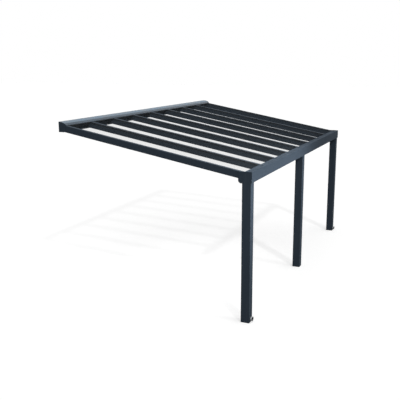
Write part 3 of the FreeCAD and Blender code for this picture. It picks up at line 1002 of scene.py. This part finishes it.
@dataclass
class RainPipes(Assembly):
    """Rain pipes in the outer posts, with the rubber rings and cuffs of their outlets, and black linings that
    paint shade inside their mouths.
    """

    nodes: tuple[str, ...] = ("downpipe_left", "downpipe_right")
    radius: float = 0.030
    bore: float = 0.0275
    outlet_height: float = 0.052
    mouth_gap: float = 0.0002
    ring_width: float = 0.009
    ring_thickness: float = 0.0042
    ring_chamfer: float = 0.001
    # Black lining inside each mouth: painted shade for the dark inside of the opening.
    shade_lining_start: float = 0.0003
    shade_lining_depth: float = 0.022
    shade_lining_wall: float = 0.0012
    shade_lip_depth: float = 0.0020
    shade_lip_wall: float = 0.0018
    collar_radius: float = 0.037
    collar_front: float = 0.0297
    collar_back: float = 0.0357
    cuff_wall: float = 0.0015
    cuff_chamfer: float = 0.0006
    fit_gap: float = 0.0001
    sides: int = 64

    def build(self) -> None:
        """Dresses the pipes and adds the rubber parts of their outlets, with black linings that paint shade
        inside the mouths.
        """
        dress(self.nodes, self.palette.pipe)
        self.make_part("outlet_rings", self.ring_profile())
        self.make_part("outlet_shade_linings", self.shade_lining_profile())
        self.make_part("collar_cuffs", self.cuff_profile())

    def make_part(self, name: str, profile: Profile) -> None:
        """Turns one rubber part for both outlets.

        Args:
            name: Name of the piece.
            profile: Radius and depth behind the mouth of each corner.
        """
        shop = Shop(name)
        level = low("post_left").z + self.outlet_height
        for pipe in self.nodes:
            shop.ring(profile, Vector((middle(pipe).x, low(pipe).y, level)), Facing.BACK, self.sides)
        shop.finish(self.palette.rubber)

    def ring_profile(self) -> Profile:
        """Gives the ring that grips a hose, round the outside of the mouth.

        Returns:
            Radius and depth of each corner.
        """
        inside = self.radius + self.fit_gap
        outside = self.radius + self.ring_thickness
        chamfer = self.ring_chamfer
        start = self.mouth_gap
        end = self.ring_width
        return [
            (inside, start), (outside - chamfer, start), (outside, start + chamfer),
            (outside, end - chamfer - start), (outside - chamfer, end), (inside, end),
        ]

    def shade_lining_profile(self) -> Profile:
        """Gives the black lip that lines the bore behind the mouth, painted shade that darkens its inside.

        Returns:
            Radius and depth of each corner.
        """
        outside = self.bore - self.fit_gap
        inside = outside - self.shade_lining_wall
        return [
            (outside, self.shade_lining_start), (outside, self.shade_lining_depth), (inside, self.shade_lining_depth),
            (outside - self.shade_lip_wall, self.shade_lip_depth), (inside, self.shade_lining_start),
        ]

    def cuff_profile(self) -> Profile:
        """Gives the cuff that covers the pipe's collar at the post.

        Returns:
            Radius and depth of each corner.
        """
        bore = self.radius + self.fit_gap
        inside = self.collar_radius + self.fit_gap
        outside = inside + self.cuff_wall
        back = self.collar_front - self.fit_gap
        front = back - self.cuff_wall
        chamfer = self.cuff_chamfer
        return [
            (bore, front), (outside - chamfer, front), (outside, front + chamfer),
            (outside, self.collar_back), (inside, self.collar_back), (inside, back), (bore, back),
        ]


@dataclass
class Roof(Assembly):
    """Rafters, glazing covers, clear panels and their seals, trims and screws."""

    side_rafters: tuple[str, ...] = ("side_rafter_left", "side_rafter_right")
    rafters: tuple[str, ...] = tuple(f"rafter_{index}" for index in range(1, BAY_COUNT))
    covers: tuple[str, ...] = tuple(f"glazing_cover_{index}" for index in range(1, BAY_COUNT + 2))
    panels: tuple[str, ...] = tuple(f"roof_panel_{index}" for index in range(1, BAY_COUNT + 1))
    cover_width: float = 0.056
    panel_drop: float = 0.010
    panel_thickness: float = 0.008
    seal_gap: float = 0.0002
    seal_width: float = 0.0035
    seal_height: float = 0.0030
    seal_heel: float = 0.0010
    seal_lean: float = 0.0004
    seal_taper: tuple[float, float] = (0.85, 0.35)
    bead_gap: float = 0.0001
    bead_width: float = 0.0028
    bead_taper: float = 0.8
    bead_depths: tuple[float, float] = (0.0016, 0.0026)
    trim_gap: float = 0.0005
    wall_gap: float = 0.002
    end_screw_inset: float = 0.030
    hood_screw_gap: float = 0.08
    screw: PanScrew = PanScrew(radius=0.0048, height=0.0020, socket=0.0020, depth=0.0012)
    screw_seat: float = 0.00002
    fixing_pitch: float = 0.62

    def build(self) -> None:
        """Dresses the roof and adds its seals and screws."""
        dress(self.side_rafters, self.palette.rafter)
        dress(self.rafters, self.palette.rafter)
        dress(self.covers, self.palette.cover)
        dress(self.panels, self.palette.panel)
        dress(["panel_end_trims"], self.palette.trim)
        self.make_seals("cover_seals", self.lip_section(), low("wall_hood").y + self.wall_gap)
        self.make_seals("panel_seals", self.bead_section(), low("wall_profile").y - self.wall_gap)
        self.make_cover_screws()

    def bay_sides(self) -> list[tuple[float, float]]:
        """Gives the cover edges that face each bay.

        Returns:
            For each bay, the places of its left and right cover edges.
        """
        half = self.cover_width / 2
        centres = [middle(name).x for name in self.covers]
        return [(left + half, right - half) for left, right in zip(centres, centres[1:])]

    def lip_section(self) -> Profile:
        """Gives the rubber lip that closes a cover onto a panel.

        Returns:
            Offset from the cover's edge and drop under the roof line of each corner.
        """
        gap = self.seal_gap
        width = self.seal_width
        top = self.panel_drop - self.seal_height
        foot = self.panel_drop - gap
        heel = (width * self.seal_taper[0], self.panel_drop - self.seal_heel)
        tip = (width * self.seal_taper[1], top + self.seal_lean)
        return [(gap, foot), (width, foot), heel, tip, (gap, top)]

    def bead_section(self) -> Profile:
        """Gives the rubber bead between a rafter's head and a panel.

        Returns:
            Offset from the cover's edge and drop under the roof line of each corner.
        """
        gap = self.seal_gap
        width = self.bead_width
        under = self.panel_drop + self.panel_thickness + self.bead_gap
        middle_depth, depth = self.bead_depths
        bulge = (width * self.bead_taper, under + middle_depth)
        return [(gap, under), (width, under), bulge, (gap, under + depth)]

    def make_seals(self, name: str, section: Profile, back: float) -> None:
        """Adds one rubber strip along both sides of every bay.

        Args:
            name: Name of the piece.
            section: Offset from the cover's edge and drop under the roof line of each corner.
            back: Place of the strips' wall ends.
        """
        shop = Shop(name)
        front = high("panel_end_trims").y + self.trim_gap
        for left, right in self.bay_sides():
            for edge, side in ((left, 1), (right, -1)):
                shop.roof_strip([(side * offset, drop) for offset, drop in section], edge, back, front)
        shop.finish(self.palette.rubber)

    def make_cover_screws(self) -> None:
        """Adds the screws along every cover's middle line."""
        shop = Shop("cover_screws")
        for name in self.covers:
            start = low(name).y + self.end_screw_inset
            end = low("wall_hood").y - self.hood_screw_gap
            count = max(2, round((end - start) / self.fixing_pitch) + 1)
            for index in range(count):
                y = start + (end - start) * index / (count - 1)
                self.screw.fit(shop, ROOF.point(middle(name).x, y, self.screw_seat), Facing.OFF_ROOF)
        shop.finish(self.palette.screw)


@dataclass
class WallSide(Assembly):
    """Wall profile, hood and end caps, with anchors, cap screws and closures."""

    caps: tuple[str, ...] = ("wall_end_cap_left", "wall_end_cap_right")
    cap_screw_places: Profile = ((0.020, 0.026), (0.092, 0.048), (0.022, 0.150))
    plate: float = 0.003
    anchor_gap: float = 0.0001
    anchor_rise: float = 0.0
    closure_depth: float = 0.012
    closure_set_back: float = 0.004
    closure_top: float = 0.0002
    closure_foot: float = 0.0096
    closure_gap: float = 0.0045
    closure_ribs: int = 3
    rafter_width: float = 0.056

    def build(self) -> None:
        """Dresses the wall side and adds its fittings."""
        dress(["wall_profile"], self.palette.wall)
        dress(["wall_hood"], self.palette.hood)
        dress(self.caps, self.palette.cap)
        self.make_anchors()
        places = [(-reach, drop) for reach, drop in self.cap_screw_places]
        CapScrews("wall_cap_screws", self.caps).build(self.palette, places)
        self.make_closures()

    def make_anchors(self) -> None:
        """Adds one wall anchor in the middle of each bay."""
        shop = Shop("wall_anchors")
        anchor = AnchorBolt()
        for index in range(1, BAY_COUNT + 1):
            x = middle(f"roof_panel_{index}").x
            anchor.fit(shop, Vector((x, -self.plate - self.anchor_gap, self.anchor_rise)), Facing.FRONT)
        shop.finish(self.palette.zinc)

    def make_closures(self) -> None:
        """Adds the ribbed rubber blocks that close the hood's lip between the covers."""
        shop = Shop("hood_closures")
        front = low("wall_hood").y + self.closure_set_back
        half = self.rafter_width / 2 + self.closure_gap
        top = self.closure_top
        foot = self.closure_foot
        for index in range(1, BAY_COUNT + 1):
            left = middle(f"glazing_cover_{index}").x + half
            right = middle(f"glazing_cover_{index + 1}").x - half
            section = [(left, top), (right, top), (right, foot), (left, foot)]
            for rib in range(self.closure_ribs):
                y = front + rib * self.closure_depth / self.closure_ribs
                shop.roof_strip(section, 0.0, y + self.closure_depth / 4, y)
        shop.finish(self.palette.rubber)


@dataclass(frozen=True)
class SunLamp:
    """Distant lamp, given by the direction from the awning to it and its width in degrees."""

    name: str
    toward: tuple[float, float, float]
    strength: float
    width: float

    def build(self) -> None:
        """Places the lamp."""
        data = bpy.data.lights.new(self.name, "SUN")
        data.energy = self.strength
        data.angle = math.radians(self.width)
        lamp = bpy.data.objects.new(self.name, data)
        lamp.rotation_euler = Vector(self.toward).to_track_quat("Z", "Y").to_euler()
        bpy.context.scene.collection.objects.link(lamp)
        LOG.info("placed %s", self.name)


@dataclass(frozen=True)
class StripLamp:
    """Soft oblong lamp near the awning, with its beam's width in degrees."""

    name: str
    place: tuple[float, float, float]
    target: tuple[float, float, float]
    power: float
    size: tuple[float, float]
    beam: float

    def build(self) -> None:
        """Places the lamp."""
        data = bpy.data.lights.new(self.name, "AREA")
        data.energy = self.power
        data.shape = "RECTANGLE"
        data.size, data.size_y = self.size
        data.spread = math.radians(self.beam)
        lamp = bpy.data.objects.new(self.name, data)
        place = Vector(self.place)
        turn = (place - Vector(self.target)).to_track_quat("Z", "Y").to_matrix().to_4x4()
        lamp.matrix_world = Matrix.Translation(place) @ turn
        bpy.context.scene.collection.objects.link(lamp)
        LOG.info("placed %s", self.name)


@dataclass
class Studio:
    """Pale floor, soft lamps, white surroundings and the camera."""

    picture_width: float = 400.0
    focal_pixels: float = 624.06
    sensor_width: float = 36.0
    far_clip: float = 400.0
    camera_place: tuple[float, float] = (-11.0471, -6.1088)
    camera_height: float = 3.8189
    yaw: float = math.radians(24.0666)
    pitch: float = math.radians(12.6576)
    roll: float = math.radians(-0.2583)
    floor_size: float = 160.0
    floor_gap: float = 0.0005
    floor_fill: float = 0.615
    floor_shade: float = 0.50
    floor_bounce: float = 0.25
    world_light: float = 0.27
    sky_lamp: SunLamp = SunLamp("sky_lamp", (0.10, -0.25, 1.0), strength=1.2, width=50.0)
    side_lamp: SunLamp = SunLamp("side_lamp", (-0.7, -0.7, 0.8), strength=0.9, width=3.0)
    key_lamp: StripLamp = StripLamp(
        "key_lamp", (-1.9, -6.4, 1.2), (-1.9, -3.25, -0.9), power=30.0, size=(4.2, 0.8), beam=38.0
    )

    def build(self) -> None:
        """Builds the whole studio."""
        self.make_floor()
        self.make_world()
        for lamp in (self.sky_lamp, self.side_lamp, self.key_lamp):
            lamp.build()
        self.make_camera()
        bpy.context.scene.view_settings.view_transform = "Standard"

    def mix_seen(self, sheet: Sheet, unseen: bpy.types.Node, seen: bpy.types.Node) -> Socket:
        """Mixes two shaders by whether a ray shows the background: seen, mirrored or seen through.

        Args:
            sheet: Sheet of the material or world.
            unseen: Shader for the rays that only carry light.
            seen: Shader for the rays that show the background.

        Returns:
            The mixed shader's socket.
        """
        path = sheet.node("ShaderNodeLightPath").outputs
        shown = sheet.math("MAXIMUM", path["Is Camera Ray"], path["Is Glossy Ray"])
        shown = sheet.math("MAXIMUM", shown, path["Is Transmission Ray"])
        inputs = {0: shown, 1: unseen.outputs[0], 2: seen.outputs[0]}
        return sheet.node("ShaderNodeMixShader", inputs).outputs[0]

    def floor_material(self) -> bpy.types.Material:
        """Makes the floor's material, white where it is lit and seen.

        Returns:
            The material.
        """
        material = bpy.data.materials.new("studio_floor")
        material.use_nodes = True
        sheet = Sheet(material.node_tree)
        shade = sheet.node("ShaderNodeBsdfDiffuse", {"Color": rgba((self.floor_shade,) * 3)})
        fill = sheet.node("ShaderNodeEmission", {"Color": rgba((1.0,) * 3), "Strength": self.floor_fill})
        lit = sheet.node("ShaderNodeAddShader", {0: shade.outputs[0], 1: fill.outputs[0]})
        plain = sheet.node("ShaderNodeBsdfDiffuse", {"Color": rgba((self.floor_bounce,) * 3)})
        sheet.node("ShaderNodeOutputMaterial", {"Surface": self.mix_seen(sheet, plain, lit)})
        return material

    def make_floor(self) -> None:
        """Makes the white floor, which keeps the awning's soft shadow."""
        half = self.floor_size / 2
        level = low("post_left").z - self.floor_gap
        data = bpy.data.meshes.new("studio_floor")
        corners = [(-half, -half, level), (half, -half, level), (half, half, level), (-half, half, level)]
        data.from_pydata(corners, [], [(0, 1, 2, 3)])
        data.materials.append(self.floor_material())
        floor = bpy.data.objects.new("studio_floor", data)
        bpy.context.scene.collection.objects.link(floor)
        LOG.info("made the floor at %.4f m", level)

    def make_world(self) -> None:
        """Makes the surroundings: white where they are seen, dimmer as a light."""
        world = bpy.data.worlds.new("studio_world")
        world.use_nodes = True
        bpy.context.scene.world = world
        sheet = Sheet(world.node_tree)
        white = rgba((1.0,) * 3)
        light = sheet.node("ShaderNodeBackground", {"Color": white, "Strength": self.world_light})
        shown = sheet.node("ShaderNodeBackground", {"Color": white, "Strength": 1.0})
        sheet.node("ShaderNodeOutputWorld", {"Surface": self.mix_seen(sheet, light, shown)})

    def make_camera(self) -> None:
        """Makes the camera at the photograph's place and angle."""
        flat = math.cos(self.pitch)
        ahead = Vector((flat * math.cos(self.yaw), flat * math.sin(self.yaw), -math.sin(self.pitch)))
        level_right = ahead.cross(Vector((0.0, 0.0, 1.0))).normalized()
        level_up = level_right.cross(ahead)
        right = level_right * math.cos(self.roll) + level_up * math.sin(self.roll)
        up = level_up * math.cos(self.roll) - level_right * math.sin(self.roll)
        data = bpy.data.cameras.new("photo_camera")
        data.sensor_width = self.sensor_width
        data.lens = self.sensor_width * self.focal_pixels / self.picture_width
        data.clip_end = self.far_clip
        camera = bpy.data.objects.new("photo_camera", data)
        turn = Matrix((right, up, -ahead)).transposed().to_4x4()
        place = Vector((*self.camera_place, low("post_left").z + self.camera_height))
        camera.matrix_world = Matrix.Translation(place) @ turn
        bpy.context.scene.collection.objects.link(camera)
        bpy.context.scene.camera = camera
        LOG.info("placed the camera with a lens of %.1f mm", data.lens)


def write_sizes() -> None:
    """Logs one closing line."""
    LOG.info("wrote the two boxes")


def main() -> None:
    """Builds the awning's dressed pieces and the studio, in order."""
    logging.basicConfig(level=logging.INFO, format="%(name)s: %(message)s")
    palette = Palette()
    for assembly in (Posts, GutterBeam, RainPipes, Roof, WallSide):
        assembly(palette).build()
    Studio().build()
    write_sizes()


if __name__ == "__main__":
    main()
